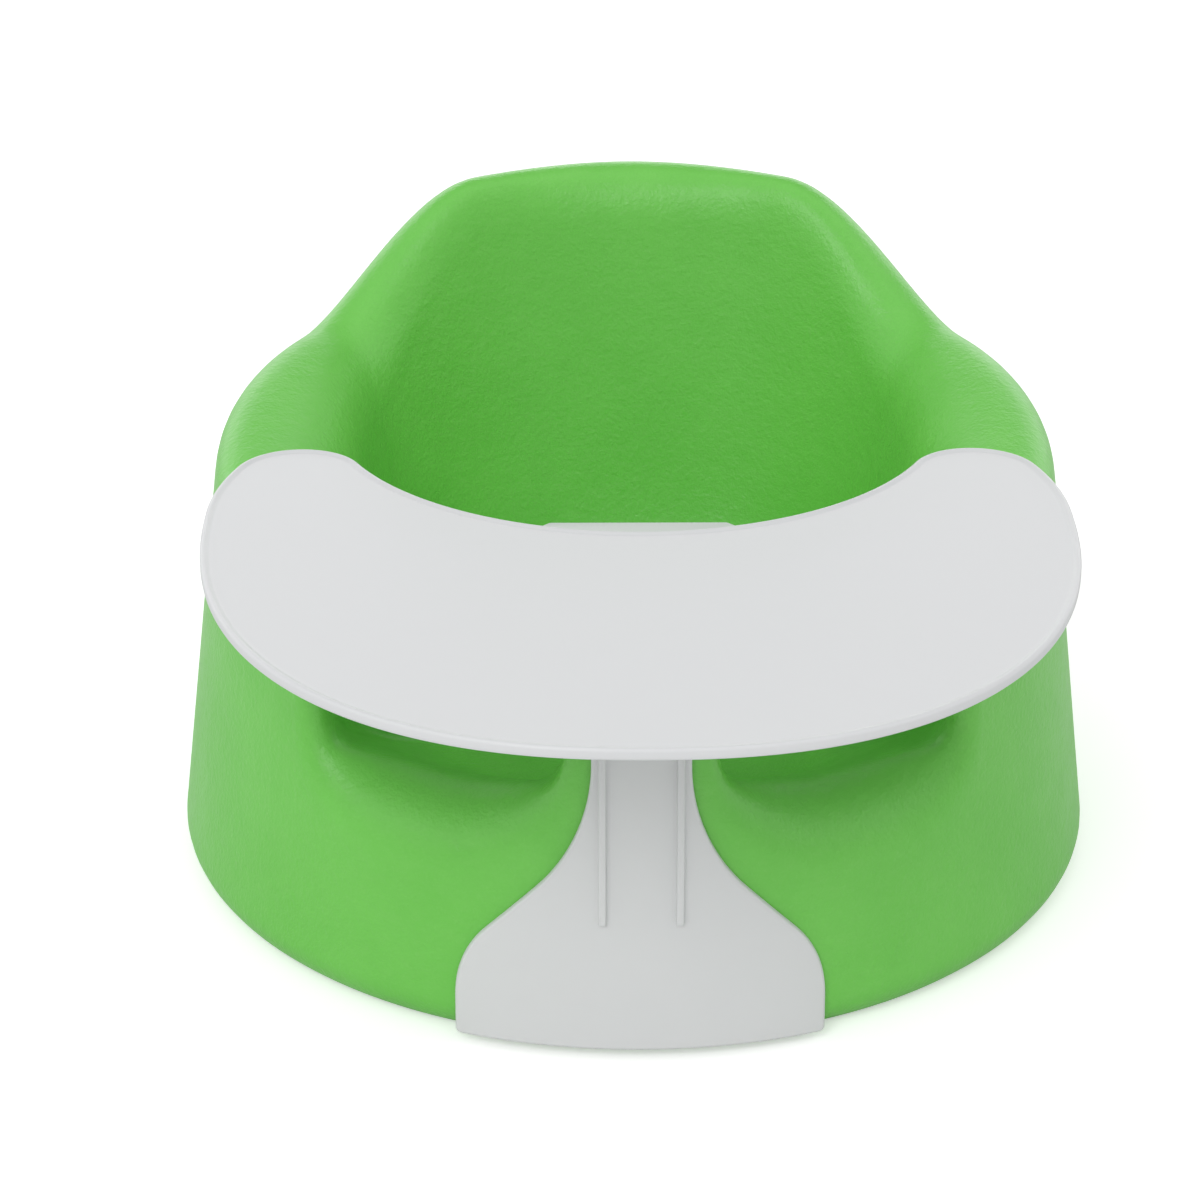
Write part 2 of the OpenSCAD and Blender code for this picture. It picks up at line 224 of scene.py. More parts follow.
def even(points, count):
    """count points evenly spaced along a line of points, the ends with them."""
    points = np.array(points, float)
    run = np.concatenate(([0], np.cumsum(np.linalg.norm(np.diff(points, axis=0), axis=1))))
    places = np.linspace(0, run[-1], count)
    return np.stack([np.interp(places, run, points[:, k]) for k in range(points.shape[1])], axis=1)


def thigh_drop(share):
    """How far the channel under a thigh has fallen: soon behind the lip, then level."""
    return ease(*channel_fall, share)


def seat_column(side, turn):
    """One line of the skin, from under the base, up the wall, over the rim and down to the pan."""
    height = rim_height(turn)
    land = land_height(turn)
    open_share = ease(0, 1, (land - height) / (land - leg_lip_height))
    past_pommel = ease(leg_in - pommel_fall_blend, leg_in + pommel_fall_blend, turn)
    fall = pommel_fall + (rim_fall - pommel_fall) * past_pommel
    fall += (arm_fall - rim_fall) * ease(*arm_fall_turns, turn)
    fall += (back_fall - arm_fall) * ease(*back_fall_turns, turn)
    lean = wall_in_lean * ease(*wall_in_lean_turns, turn)
    leg_share = abs(turn - leg_turn) / leg_half_turn
    lip_share = ease(0, lip_share_end, 1 - leg_share)
    side_share = ease(*side_start_shares, leg_share) - ease(*side_end_shares, leg_share)
    rim = rim_width + lip_width_more * lip_share - side_width_less * side_share
    rise = rim_rise + lip_rise_more * lip_share
    outer = opening_edge_turn(turn)
    inner = bowl_turn(outer)
    wall_foot = bottom_round * (1 + math.sin(wall_lean))
    wall_top = height - rise
    crest = wall_radius(wall_top) - rim
    inner_radius = bowl_radius(inner)
    inner_height = height - fall
    well = inner_radius - well_wall
    foot = well + (bowl_foot_share * inner_radius - well) * ease(*bowl_foot_turns, inner)
    bottom = [
        polar(base_radius - bottom_round + bottom_round * math.cos(a), side * outer,
              bottom_round * (1 + math.sin(a)))
        for a in spread(-math.pi / 2, wall_lean, corner_steps)
    ]
    wall = [
        polar(wall_radius(z), side * outer, z) for z in spread(wall_foot, wall_top, wall_steps)
    ]
    rim_out = [
        polar(crest + rim * math.cos(a), side * (outer + (turn - outer) * math.sin(a)),
              wall_top + rise * math.sin(a))
        for a in spread(0, math.pi / 2, rim_steps)
    ]
    rim_in = [
        polar(crest + (inner_radius - crest) * math.sin(a) / math.sin(rim_in_end),
              side * (turn + (inner - turn) * math.sin(a) / math.sin(rim_in_end)),
              height - fall * (1 - math.cos(a)) / (1 - math.cos(rim_in_end)))
        for a in spread(0, rim_in_end, rim_steps)
    ]
    bowl = [
        polar(foot + (inner_radius - foot) * max(math.cos(a), 0) ** bowl_wall_power
              - lean * (1 - (1 - math.sin(a) ** bowl_floor_power) ** 2), side * inner,
              inner_height - (inner_height - pan_height) * math.sin(a) ** bowl_floor_power)
        for a in spread(0, math.pi / 2, bowl_steps)
    ]
    pan = [bowl[-1], polar(inner_radius * pan_share, side * inner, pan_height)]
    outside = [
        even(run, count)[:-1]
        for run, count in ((bottom, bottom_rows), (wall, wall_rows), (rim_out, rim_out_rows))
    ]
    inside = [
        even(run, count)[:-1]
        for run, count in ((rim_in, rim_in_rows), (bowl, bowl_rows), (pan, pan_rows))
    ]
    well_line = np.concatenate(inside + [np.array(pan[-1:])])
    thigh_line = even([
        polar(crest + (inner_radius * pan_share - crest) * q,
              side * (turn + (inner - turn) * ease(0, channel_swing_end, q)),
              height - (height - pan_height) * thigh_drop(q))
        for q in spread(0, 1, thigh_steps)
    ], len(well_line))
    return np.concatenate(outside + [well_line + open_share * (thigh_line - well_line)])


def soften(grid, passes, first_row):
    """Rounds what kinks are left: each point of a closed band moves towards its neighbours."""
    for _ in range(passes):
        around = np.roll(grid, 1, 0) + np.roll(grid, -1, 0)
        middle = (around[:, first_row:-1] + grid[:, first_row - 1:-2] + grid[:, first_row + 1:]) / 4
        grid[:, first_row:-1] += soften_share * (middle - grid[:, first_row:-1])
    return grid


def make_piece(name, points, faces):
    """An object of these points and faces, shaded smooth."""
    mesh = bpy.data.meshes.new(name)
    mesh.from_pydata([tuple(p) for p in points], [], faces)
    mesh.update()
    mesh.shade_smooth()
    piece = bpy.data.objects.new(name, mesh)
    bpy.context.scene.collection.objects.link(piece)
    return piece


def band_faces(columns, rows):
    """Faces of a closed band: columns lines of rows points, one after another."""
    return [
        ((i % columns) * rows + j, ((i + 1) % columns) * rows + j,
         ((i + 1) % columns) * rows + j + 1, (i % columns) * rows + j + 1)
        for i in range(columns) for j in range(rows - 1)
    ]


def closed_faces(columns, rows):
    """Faces of a closed band and of its two ends. The ends' middles are the points after it."""
    faces = band_faces(columns, rows)
    for i in range(columns):
        here, after = i * rows, (i + 1) % columns * rows
        faces.append((after, here, columns * rows))
        faces.append((here + rows - 1, after + rows - 1, columns * rows + 1))
    return faces


crest_line = [
    (*polar(wall_radius(rim_height(t)) - rim_width, t, rim_height(t)), t)
    for t in spread(0, 180, crest_steps)
]
seat_turns = [float(t) for t in even(crest_line, seat_columns + 1)[:, 3]]
seat_grid = np.array(
    [seat_column(1, t) for t in seat_turns] + [seat_column(-1, t) for t in seat_turns[-2:0:-1]]
)
seat_grid = soften(seat_grid, soften_passes, bottom_rows)
seat_points = [*seat_grid.reshape(-1, 3), (0, 0, 0), (0, 0, pan_height)]
seat = make_piece("foam_seat", seat_points, closed_faces(*seat_grid.shape[:2]))


class Signal:
    """An output socket in a finish, which sums can be written with."""

    def __init__(self, finish, socket):
        self.finish = finish
        self.socket = socket

    def math(self, operation, first, second):
        return self.finish.node("ShaderNodeMath", {"operation": operation}, {0: first, 1: second})

    def __add__(self, other):
        return self.math("ADD", self, other)

    def __radd__(self, other):
        return self.math("ADD", other, self)

    def __sub__(self, other):
        return self.math("SUBTRACT", self, other)

    def __rsub__(self, other):
        return self.math("SUBTRACT", other, self)

    def __mul__(self, other):
        return self.math("MULTIPLY", self, other)

    def __rmul__(self, other):
        return self.math("MULTIPLY", other, self)


class Finish:
    """The nodes of a material, or of the light all round, while they are being laid out."""

    def __init__(self, owner):
        owner.use_nodes = True
        self.owner = owner
        self.nodes = owner.node_tree.nodes
        self.links = owner.node_tree.links
        self.nodes.clear()

    def node(self, kind, settings=None, sockets=None, output=0):
        """A new node's output. What goes into its sockets is values or other nodes' outputs."""
        node = self.nodes.new(kind)
        for name, value in (settings or {}).items():
            setattr(node, name, value)
        for name, value in (sockets or {}).items():
            if isinstance(value, Signal):
                self.links.new(value.socket, node.inputs[name])
            else:
                node.inputs[name].default_value = value
        return Signal(self, node.outputs[output]) if len(node.outputs) else node

    def place(self):
        return self.node("ShaderNodeTexCoord", output="Object")

    def noise(self, place, scale, detail=2, roughness=0.5):
        return self.node("ShaderNodeTexNoise", {}, {
            "Vector": place, "Scale": scale, "Detail": detail, "Roughness": roughness}, "Fac")

    def spot(self, value, low, high):
        """value stretched so that low becomes 0 and high becomes 1, with smooth ends."""
        return self.node("ShaderNodeMapRange", {"interpolation_type": "SMOOTHSTEP"}, {
            "Value": value, "From Min": low, "From Max": high})

    def mix(self, share, first, second):
        return self.node("ShaderNodeMix", {"data_type": "RGBA"}, {0: share, 6: first, 7: second}, 2)

    def bump(self, height, strength, distance, before=None):
        sockets = {"Height": height, "Strength": strength, "Distance": distance}
        if before:
            sockets["Normal"] = before
        return self.node("ShaderNodeBump", {}, sockets)

    def surface(self, sockets):
        shader = self.node("ShaderNodeBsdfPrincipled", {}, sockets)
        self.node("ShaderNodeOutputMaterial", {}, {"Surface": shader})
        return self.owner


foam = Finish(bpy.data.materials.new("green_foam"))
foam_place = foam.place()
foam_cloud = foam.spot(foam.noise(foam_place, 22, 4, 0.6), 0.3, 0.7)
foam_streak_place = foam.node("ShaderNodeMapping", {}, {"Vector": foam_place, "Scale": (1, 1, 2.2)})
foam_streak = foam.spot(foam.noise(foam_streak_place, 120, 5, 0.7), 0.45, 0.75)
foam_pebble = foam.noise(foam_place, 700, 3, 0.6)
foam_speck = foam.spot(foam_pebble, 0.52, 0.70)
foam_lump = foam.noise(foam_place, 190, 3, 0.6)
foam_leather = foam.noise(foam_place, 420, 2, 0.55)
foam_colour = foam.mix(foam_cloud, (0.150, 0.560, 0.073, 1), (0.165, 0.585, 0.083, 1))
foam_colour = foam.mix(foam_streak * 0.12 + foam_speck * 0.10, foam_colour, (0.250, 0.630, 0.150, 1))
foam_relief = foam.bump(foam_lump, 0.20, 0.0016)
foam_relief = foam.bump(foam_leather, 0.30, 0.0009, foam_relief)
foam_relief = foam.bump(foam_pebble, 0.40, 0.0005, foam_relief)
seat.data.materials.append(foam.surface({
    "Base Color": foam_colour,
    "Roughness": 0.37 + foam_streak * 0.08 - foam_cloud * 0.04,
    "Normal": foam_relief,
}))
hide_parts("seat_foam")
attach(seat, "seat")


# ---- Tray deck ----
# An injection-moulded deck of white polypropylene, cut out for the child's body, with a low
# bead round its edge and five bosses below that take the screws of the stem and the hook.

deck_low, deck_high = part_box("tray_deck")
deck_half_width = deck_high.x
deck_front = -deck_low.y
bead_rise = 0.0008
bead_width = 0.0036
deck_thick = 0.003
deck_top = deck_high.z - bead_rise
deck_under = deck_top - deck_thick
edge_drop = 0.0006
edge_round = 0.0012
edge_wall = 0.003
edge_land = 0.0006
edge_soft = 0.0002
widest_from_middle = 0.100
deck_squareness = 2.3
cutout_radius = 0.122
cutout_middle = 0.002
ear_radius = 0.0255
ear_middle_x = 0.132
ear_middle_y = cutout_middle - math.sqrt((cutout_radius + ear_radius) ** 2 - ear_middle_x ** 2)
ear_turn = math.asin(ear_middle_x / (cutout_radius + ear_radius))
flank_x = deck_half_width - ear_middle_x
flank_y = ear_middle_y + widest_from_middle
flank_radius = (flank_x ** 2 + flank_y ** 2 - ear_radius ** 2) / (2 * (flank_x - ear_radius))
flank_turn = math.atan2(flank_y, flank_radius - flank_x)
cutout_steps = 60
ear_steps = 48
flank_steps = 20
front_steps = 110


def deck_half():
    """Right half of the deck's outline, from the cut-out to the front: point and direction out."""
    line = []
    for a in spread(0, ear_turn, cutout_steps)[:-1]:
        line.append((cutout_radius * math.sin(a), cutout_middle - cutout_radius * math.cos(a),
                     -math.sin(a), math.cos(a)))
    for a in spread(math.pi / 2 + ear_turn, flank_turn, ear_steps)[:-1]:
        line.append((ear_middle_x + ear_radius * math.cos(a), ear_middle_y + ear_radius * math.sin(a),
                     math.cos(a), math.sin(a)))
    for a in spread(flank_turn, 0, flank_steps)[:-1]:
        line.append((deck_half_width - flank_radius * (1 - math.cos(a)),
                     flank_radius * math.sin(a) - widest_from_middle, math.cos(a), math.sin(a)))
    for a in spread(0, math.pi / 2, front_steps):
        x = max(math.cos(a), 0) ** (2 / deck_squareness)
        y = math.sin(a) ** (2 / deck_squareness)
        out_x = x ** (deck_squareness - 1) / deck_half_width
        out_y = y ** (deck_squareness - 1) / (deck_front - widest_from_middle)
        length = math.hypot(out_x, out_y)
        line.append((deck_half_width * x, -widest_from_middle - (deck_front - widest_from_middle) * y,
                     out_x / length, -out_y / length))
    return line


def arc(middle, radius, start, stop, steps):
    """Points of an arc in a section, angles in degrees."""
    return [
        (middle[0] + radius * math.cos(math.radians(a)), middle[1] + radius * math.sin(math.radians(a)))
        for a in spread(start, stop, steps)
    ]


bead_round = 0.0014
bead_fall_start = 0.12
deck_edge = (
    [(edge_wall + edge_land, deck_under), (edge_wall + edge_soft, deck_under - edge_soft / 2),
     (edge_wall, deck_under - edge_drop / 2), (edge_wall - edge_soft, deck_under - edge_drop)]
    + arc((edge_round, deck_under - edge_drop + edge_round), edge_round, 270, 180, 5)
    + arc((bead_round, deck_high.z - bead_round), bead_round, 180, 90, 7)
    + [(bead_round + (bead_width - bead_round) * s, deck_top + bead_rise * (1 - ease(0, 1, s)))
       for s in spread(bead_fall_start, 1, 8)]
    + [(bead_width + edge_land, deck_top), (bead_width + 5 * edge_land, deck_top)]
)
right_half = deck_half()
deck_outline = [(-x, y, -out_x, out_y) for x, y, out_x, out_y in right_half] + right_half[-2:0:-1]
deck_points = [
    (x - out_x * inset, y - out_y * inset, z)
    for x, y, out_x, out_y in deck_outline for inset, z in deck_edge
]
edge_rows = len(deck_edge)
deck_faces = band_faces(len(deck_outline), edge_rows)
deck_faces.append([i * edge_rows for i in range(len(deck_outline))][::-1])
deck_faces.append([i * edge_rows + edge_rows - 1 for i in range(len(deck_outline))])
deck = make_piece("tray_deck_shell", deck_points, deck_faces)

screw_low, screw_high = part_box("tray_screws")
screw_head_radius = 0.003
screw_head_height = 0.0016
screw_length = 0.006
screw_radius = 0.0015
screw_seat = screw_low.z + screw_head_height
stem_screws_x = (-0.010, 0.010)
hook_screws_x = (screw_low.x + screw_head_radius, 0, screw_high.x - screw_head_radius)
stem_screw_places = [(x, screw_low.y + screw_head_radius) for x in stem_screws_x]
hook_screw_places = [(x, screw_high.y - screw_head_radius) for x in hook_screws_x]
screw_places = stem_screw_places + hook_screw_places


def turned(name, profile, places, steps=40):
    """Closed solids turned from one section of (radius, height) that starts and ends on the axis."""
    points, faces = [], []
    ring = profile[1:-1]
    for x, y in places:
        faces += [[len(points) + v for v in face] for face in closed_faces(steps, len(ring))]
        for k in range(steps):
            a = 2 * math.pi * k / steps
            points += [(x + r * math.cos(a), y + r * math.sin(a), z) for r, z in ring]
        points += [(x, y, profile[0][1]), (x, y, profile[-1][1])]
    return make_piece(name, points, faces)


def join_solids(piece, tool, operation):
    """Adds the tool's solids to the piece's, or cuts them from it."""
    modifier = piece.modifiers.new("join", "BOOLEAN")
    modifier.operation = operation
    modifier.solver = "EXACT"
    modifier.object = tool
    result = bpy.data.meshes.new_from_object(piece.evaluated_get(bpy.context.evaluated_depsgraph_get()))
    piece.modifiers.clear()
    piece.data = result
    bpy.data.objects.remove(tool)


def crisp(piece, angle):
    """Smooth shading, with edges sharper than the angle left sharp."""
    piece.data.shade_smooth()
    piece.data.set_sharp_from_angle(angle=math.radians(angle))


plastic_crisp = 38
boss_radius = 0.004
boss_foot = deck_low.z
boss_flare = 0.0008
boss_chamfer = 0.0004
pilot_clear = 0.00005
pilot_room = 0.0003
pilot_radius = screw_radius + pilot_clear
pilot_top = screw_seat + screw_length + pilot_room
sunk = 0.001
flare_middle = (boss_radius + boss_flare, deck_under - boss_flare)
boss_section = (
    [(0, boss_foot), (boss_radius - boss_chamfer, boss_foot), (boss_radius, boss_foot + boss_chamfer)]
    + arc(flare_middle, boss_flare, 180, 90, 5)
    + [(boss_radius + boss_flare, deck_under + sunk), (0, deck_under + sunk)]
)
pilot_section = [(0, boss_foot - sunk), (pilot_radius, boss_foot - sunk),
                 (pilot_radius, pilot_top), (0, pilot_top)]
join_solids(deck, turned("bosses", boss_section, screw_places), "UNION")
join_solids(deck, turned("pilots", pilot_section, screw_places), "DIFFERENCE")
crisp(deck, plastic_crisp)


def white_plastic(name, colour, shade):
    """Moulded polypropylene: satin, with a faint flow in its colour and a very fine grain."""
    plastic = Finish(bpy.data.materials.new(name))
    place = plastic.place()
    flow = plastic.spot(plastic.noise(place, 14, 3, 0.5), 0.3, 0.7)
    grain = plastic.noise(place, 900, 2, 0.5)
    wave = plastic.noise(place, 60, 2, 0.4)
    relief = plastic.bump(wave, 0.12, 0.0006)
    relief = plastic.bump(grain, 0.10, 0.0002, relief)
    return plastic.surface({
        "Base Color": plastic.mix(flow, (*colour, 1), (*shade, 1)),
        "Roughness": 0.36 + grain * 0.06 - flow * 0.03,
        "Normal": relief,
        "IOR": 1.49,
    })


deck.data.materials.clear()
deck.data.materials.append(white_plastic("white_deck", (0.676, 0.685, 0.694), (0.667, 0.676, 0.687)))
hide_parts("tray_deck")
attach(deck, "tray")


# ---- Stem and apron ----
# One moulding of white polypropylene. It hangs from the deck by a tab, runs down the seat's
# front wall as a stem and spreads there into an apron. Two ribs stiffen the stem.

stem_low, stem_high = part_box("front_stem")
fit_gap = 0.0004
shell_thick = 0.003
apron_foot = stem_low.z
apron_half_width = stem_high.x
apron_corner = 0.002
bulge_radius = 0.041
bulge_foot = 0.019
stem_half_width = 0.0185
flare_radius = 0.070
flare_slope = math.radians(45)
rib_middle = 0.0145
rib_foot = 0.055
rib_rise = 0.0025
rib_row_gap = 0.0012
bulge_x = apron_half_width - bulge_radius * (1 - math.cos(flare_slope))
bulge_z = bulge_foot + bulge_radius * math.sin(flare_slope)
flare_x = stem_half_width + flare_radius * (1 - math.cos(flare_slope))
flare_low = bulge_z + (bulge_x - flare_x) * math.tan(flare_slope)
flare_top = flare_low + flare_radius * math.sin(flare_slope)
stem_top = stem_high.z
front_round = 0.0011
back_round = 0.0004
tab_under = pommel_height + fit_gap
tab_top = tab_under + 0.003
tab_end = 0.141
tab_inset = 0.0004
tab_in_stem = 0.0012
tab_round = 0.0005


def apron_side(z):
    """Half the apron's width at a height, and which way its edge faces."""
    if z < apron_foot + apron_corner:
        a = math.asin((z - apron_foot) / apron_corner - 1)
        return apron_half_width - apron_corner * (1 - math.cos(a)), math.cos(a), math.sin(a)
    if z < bulge_foot:
        return apron_half_width, 1, 0
    if z < bulge_z:
        a = math.asin((z - bulge_foot) / bulge_radius)
        return apron_half_width - bulge_radius * (1 - math.cos(a)), math.cos(a), math.sin(a)
    if z < flare_low:
        side = bulge_x - (z - bulge_z) / math.tan(flare_slope)
        return side, math.cos(flare_slope), math.sin(flare_slope)
    if z < flare_top:
        a = math.asin((flare_top - z) / flare_radius)
        return stem_half_width + flare_radius * (1 - math.cos(a)), math.cos(a), math.sin(a)
    return stem_half_width, 1, 0


rib_section = [(-0.0017, 0), (-0.0015, 0.05), (-0.0014, 0.72), (-0.00125, 0.92), (-0.00085, 1), (0, 1),
               (0.00085, 1), (0.00125, 0.92), (0.0014, 0.72), (0.0015, 0.05), (0.0017, 0)]
rib_end = [(-0.0002, 0), (0, 0.05), (0.0001, 0.72), (0.0003, 0.92), (0.0007, 1)]


def shell_place(x, z, offset):
    """A point in front of the seat's wall, offset from the foam's surface."""
    radius = wall_radius(z) + offset
    return (x, -math.sqrt(radius * radius - x * x), z)


def stem_columns(half_width):
    """Distances across a row, and how high the ribs stand at each."""
    rib_edge = rib_middle + rib_section[-1][0]
    outer = [(rib_edge + (half_width - rib_edge) * s, 0) for s in spread(0, 1, 14)[1:]]
    between = [(x, 0) for x in spread(0, rib_middle + rib_section[0][0], 8)[:-1]]
    half = between + [(rib_middle + x, rise) for x, rise in rib_section] + outer
    return [(-x, rise) for x, rise in half[:0:-1]] + half


corner_rows = [apron_foot + apron_corner * (1 - math.cos(a)) for a in spread(0, math.pi / 2, 8)]
apron_rows = spread(apron_foot + apron_corner, bulge_foot, 5)[1:] + spread(bulge_foot, bulge_z, 14)[1:]
run_rows = [z for z in spread(bulge_z, flare_low, 10)[1:] if abs(z - rib_foot) > rib_row_gap]
run_rows += [rib_foot + dz + front_round * math.sin(flare_slope) for dz, rise in rib_end]
run_rows.sort()
flare_rows = spread(flare_low, flare_top, 20)[1:] + spread(flare_top, stem_top, 24)[1:]
stem_rows = corner_rows + apron_rows + run_rows + flare_rows


def rib_share(z):
    """How much of their height the ribs have at a height above the floor."""
    return float(np.interp(z, [rib_foot + dz for dz, rise in rib_end], [rise for dz, rise in rib_end]))


def stem_face(inset, depth, ribs):
    """One face of the shell as rows of points, drawn in from its outline by inset."""
    face = []
    for z in stem_rows:
        side, out_x, out_z = apron_side(z)
        row_z = z - inset * out_z if z < stem_top else z - inset
        rise = rib_rise * rib_share(row_z) if ribs else 0
        face.append([
            shell_place(x, row_z, fit_gap + depth + rise * share)
            for x, share in stem_columns(side - inset * out_x)
        ])
    return face


def face_border(face):
    """The points round a face, anticlockwise from its lower left corner."""
    bottom = face[0][:-1]
    right = [row[-1] for row in face[:-1]]
    top = face[-1][:0:-1]
    left = [row[0] for row in face[:0:-1]]
    return bottom + right + top + left


front_face = stem_face(front_round, shell_thick, True)
back_face = stem_face(back_round, 0, False)
loops = [face_border(front_face)]
for a in spread(math.pi / 2, 0, 4)[1:]:
    inset = front_round * (1 - math.cos(a))
    loops.append(face_border(stem_face(inset, shell_thick - front_round * (1 - math.sin(a)), True)))
loops.append(face_border(stem_face(0, back_round, False)))
loops.append(face_border(back_face))


def stitched(name, front, back, borders):
    """A shell from its two faces and the border loops between them."""
    columns = len(front[0])
    points, faces = [], []
    index = {}

    def at(point):
        key = tuple(round(c, 7) for c in point)
        if key not in index:
            index[key] = len(points)
            points.append(point)
        return index[key]

    for face, order in ((front, 1), (back, -1)):
        for low, high in zip(face, face[1:]):
            for k in range(columns - 1):
                faces.append([at(p) for p in (low[k], low[k + 1], high[k + 1], high[k])][::order])
    for outer, inner in zip(borders, borders[1:]):
        for k in range(len(outer)):
            n = (k + 1) % len(outer)
            faces.append([at(p) for p in (outer[n], outer[k], inner[k], inner[n])])
    faces = [list(dict.fromkeys(face)) for face in faces]
    return make_piece(name, points, [face for face in faces if len(face) > 2])


stem = stitched("stem_with_apron", front_face, back_face, loops)


def flat_plate(name, outline, low, high, rounding):
    """A flat plate with rounded edges: an outline of corners, drawn up from low to high."""
    corners = len(outline)
    points = [(x, y, z) for z in (low, high) for x, y in outline]
    faces = [list(range(corners))[::-1], list(range(corners, 2 * corners))]
    faces += [(k, (k + 1) % corners, (k + 1) % corners + corners, k + corners) for k in range(corners)]
    plate = make_piece(name, points, faces)
    solid = bmesh.new()
    solid.from_mesh(plate.data)
    bmesh.ops.bevel(solid, geom=solid.edges[:], offset=rounding, segments=3, profile=0.5,
                    affect="EDGES", clamp_overlap=True)
    solid.to_mesh(plate.data)
    solid.free()
    return plate


tab_front = wall_radius(tab_under) + fit_gap + tab_in_stem
tab_outline = [(-stem_half_width + tab_inset, -tab_front), (stem_half_width - tab_inset, -tab_front),
               (stem_half_width, -tab_end), (-stem_half_width, -tab_end)]
join_solids(stem, flat_plate("tab", tab_outline, tab_under, tab_top, tab_round), "UNION")

head_room = 0.0002
shank_room = 0.00025
mouth_chamfer = 0.0003
counterbore_radius = screw_head_radius + head_room
mouth_radius = counterbore_radius + mouth_chamfer
hole_radius = screw_radius + shank_room
hole_section = [(0, tab_under - sunk), (mouth_radius, tab_under - sunk),
                (mouth_radius, tab_under), (counterbore_radius, tab_under + mouth_chamfer),
                (counterbore_radius, screw_seat), (hole_radius, screw_seat),
                (hole_radius, tab_top + sunk), (0, tab_top + sunk)]
join_solids(stem, turned("stem_holes", hole_section, stem_screw_places), "DIFFERENCE")
crisp(stem, plastic_crisp)
stem.data.materials.clear()
# Painted light: the stem and apron use a lighter copy of the deck's white plastic, brightened for how
# strongly their front face is lit.
stem.data.materials.append(white_plastic("white_stem_painted_light", (0.690, 0.700, 0.700), (0.680, 0.690, 0.692)))
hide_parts("front_stem")
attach(stem, "tray")


# ---- Pommel hook ----
# A small plate of white polypropylene that lies on the pommel behind the stem's tab, with a leg
# down the pommel's rear face. It keeps the tray from being pushed forward.

hook_low, hook_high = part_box("pommel_hook")
hook_chamfer = 0.006
hook_leg_half = 0.022
hook_thick = 0.003
hook_round = 0.0007
leg_round = 0.0008
leg_inset = 0.0001
leg_rear = hook_high.y
leg_face = leg_rear - hook_thick
hook_outline = [
    (hook_low.x, hook_low.y), (hook_high.x, hook_low.y), (hook_high.x, leg_rear - hook_chamfer),
    (hook_high.x - hook_chamfer, leg_rear), (hook_low.x + hook_chamfer, leg_rear),
    (hook_low.x, leg_rear - hook_chamfer),
]
hook_under = hook_high.z - hook_thick
hook = flat_plate("pommel_hook_plate", hook_outline, hook_under, hook_high.z, hook_round)
leg_outline = [(-hook_leg_half, leg_face), (hook_leg_half, leg_face),
               (hook_leg_half, leg_rear - leg_inset), (-hook_leg_half, leg_rear - leg_inset)]
hook_leg = flat_plate("hook_leg", leg_outline, hook_low.z, hook_high.z - sunk, leg_round)
join_solids(hook, hook_leg, "UNION")
join_solids(hook, turned("hook_holes", hole_section, hook_screw_places), "DIFFERENCE")
crisp(hook, plastic_crisp)
hook.data.materials.clear()
# Painted shade: the hook uses a greyer copy of the deck's white plastic, darkened for the shade it lies
# in under the deck's rear edge.
hook.data.materials.append(white_plastic("white_hook_painted_shade", (0.660, 0.675, 0.675), (0.650, 0.665, 0.668)))
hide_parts("pommel_hook")
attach(hook, "tray")


# ---- Screws ----
# Five thread-forming screws of zinc-plated steel with domed heads and cross recesses. They are
# driven from below, through the tab and the hook into the deck's bosses.

thread_pitch = 0.0011
thread_core = 0.00115
ridge_share = 0.28
ridge_start = 0.0008
screw_point = 0.0012
head_dome = 0.55
head_chamfer = 0.0001
point_share = 0.4
screw_steps = 28
shank_steps = 44
screw_crisp = 40


def screw_radius_at(height, turn):
    """Radius of the threaded shank at a height above the head and an angle in turns."""
    phase = (height / thread_pitch - turn) % 1
    ridge = max(0, 1 - abs(phase - 0.5) / ridge_share)
    to_end = (screw_length - height) / screw_point
    fade = min(1, height / ridge_start, to_end)
    return thread_core * min(1, point_share + to_end) + (screw_radius - thread_core) * ridge * fade


def screw_solid(x, y):
    """Points and faces of one screw, from the dome of its head up to its point."""
    head = [(screw_head_radius * math.sin(a),
             screw_seat - screw_head_height * (1 - head_dome + head_dome * math.cos(a)))
            for a in spread(0, math.pi / 2, 6)[1:]]
    head.append((screw_head_radius, screw_seat - head_chamfer))
    head.append((screw_head_radius - head_chamfer, screw_seat))
    shank = spread(0, screw_length, shank_steps)[:-1]
    points = []
    for k in range(screw_steps):
        turn = k / screw_steps
        direction = (math.cos(2 * math.pi * turn), math.sin(2 * math.pi * turn))
        radii = head + [(screw_radius_at(h, turn), screw_seat + h) for h in shank]
        points += [(x + r * direction[0], y + r * direction[1], z) for r, z in radii]
    points += [(x, y, screw_seat - screw_head_height), (x, y, screw_seat + screw_length)]
    return points, closed_faces(screw_steps, len(head) + len(shank))


screw_points, screw_faces = [], []
for x, y in screw_places:
    points, faces = screw_solid(x, y)
    screw_faces += [tuple(len(screw_points) + v for v in face) for face in faces]
    screw_points += points
screws = make_piece("deck_screws", screw_points, screw_faces)
recess_half = 0.00028
recess_reach = 0.00165
recess_deep = 0.0009
recess_taper = 0.7
for long_x, long_y in ((recess_reach, recess_half), (recess_half, recess_reach)):
    slots, slot_faces = [], []
    for x, y in screw_places:
        start = len(slots)
        for z, share in ((screw_low.z - sunk, 1), (screw_low.z + recess_deep, recess_taper)):
            slots += [(x + sx * long_x * share, y + sy * long_y * share, z)
                      for sx, sy in ((-1, -1), (1, -1), (1, 1), (-1, 1))]
        slot_faces += [[start + v for v in face] for face in (
            (3, 2, 1, 0), (4, 5, 6, 7), (0, 1, 5, 4), (1, 2, 6, 5), (2, 3, 7, 6), (3, 0, 4, 7))]
    join_solids(screws, make_piece("recess", slots, slot_faces), "DIFFERENCE")
crisp(screws, screw_crisp)
zinc = Finish(bpy.data.materials.new("zinc_plate"))
zinc_place = zinc.place()
zinc_cloud = zinc.noise(zinc_place, 900, 3, 0.6)
screws.data.materials.clear()
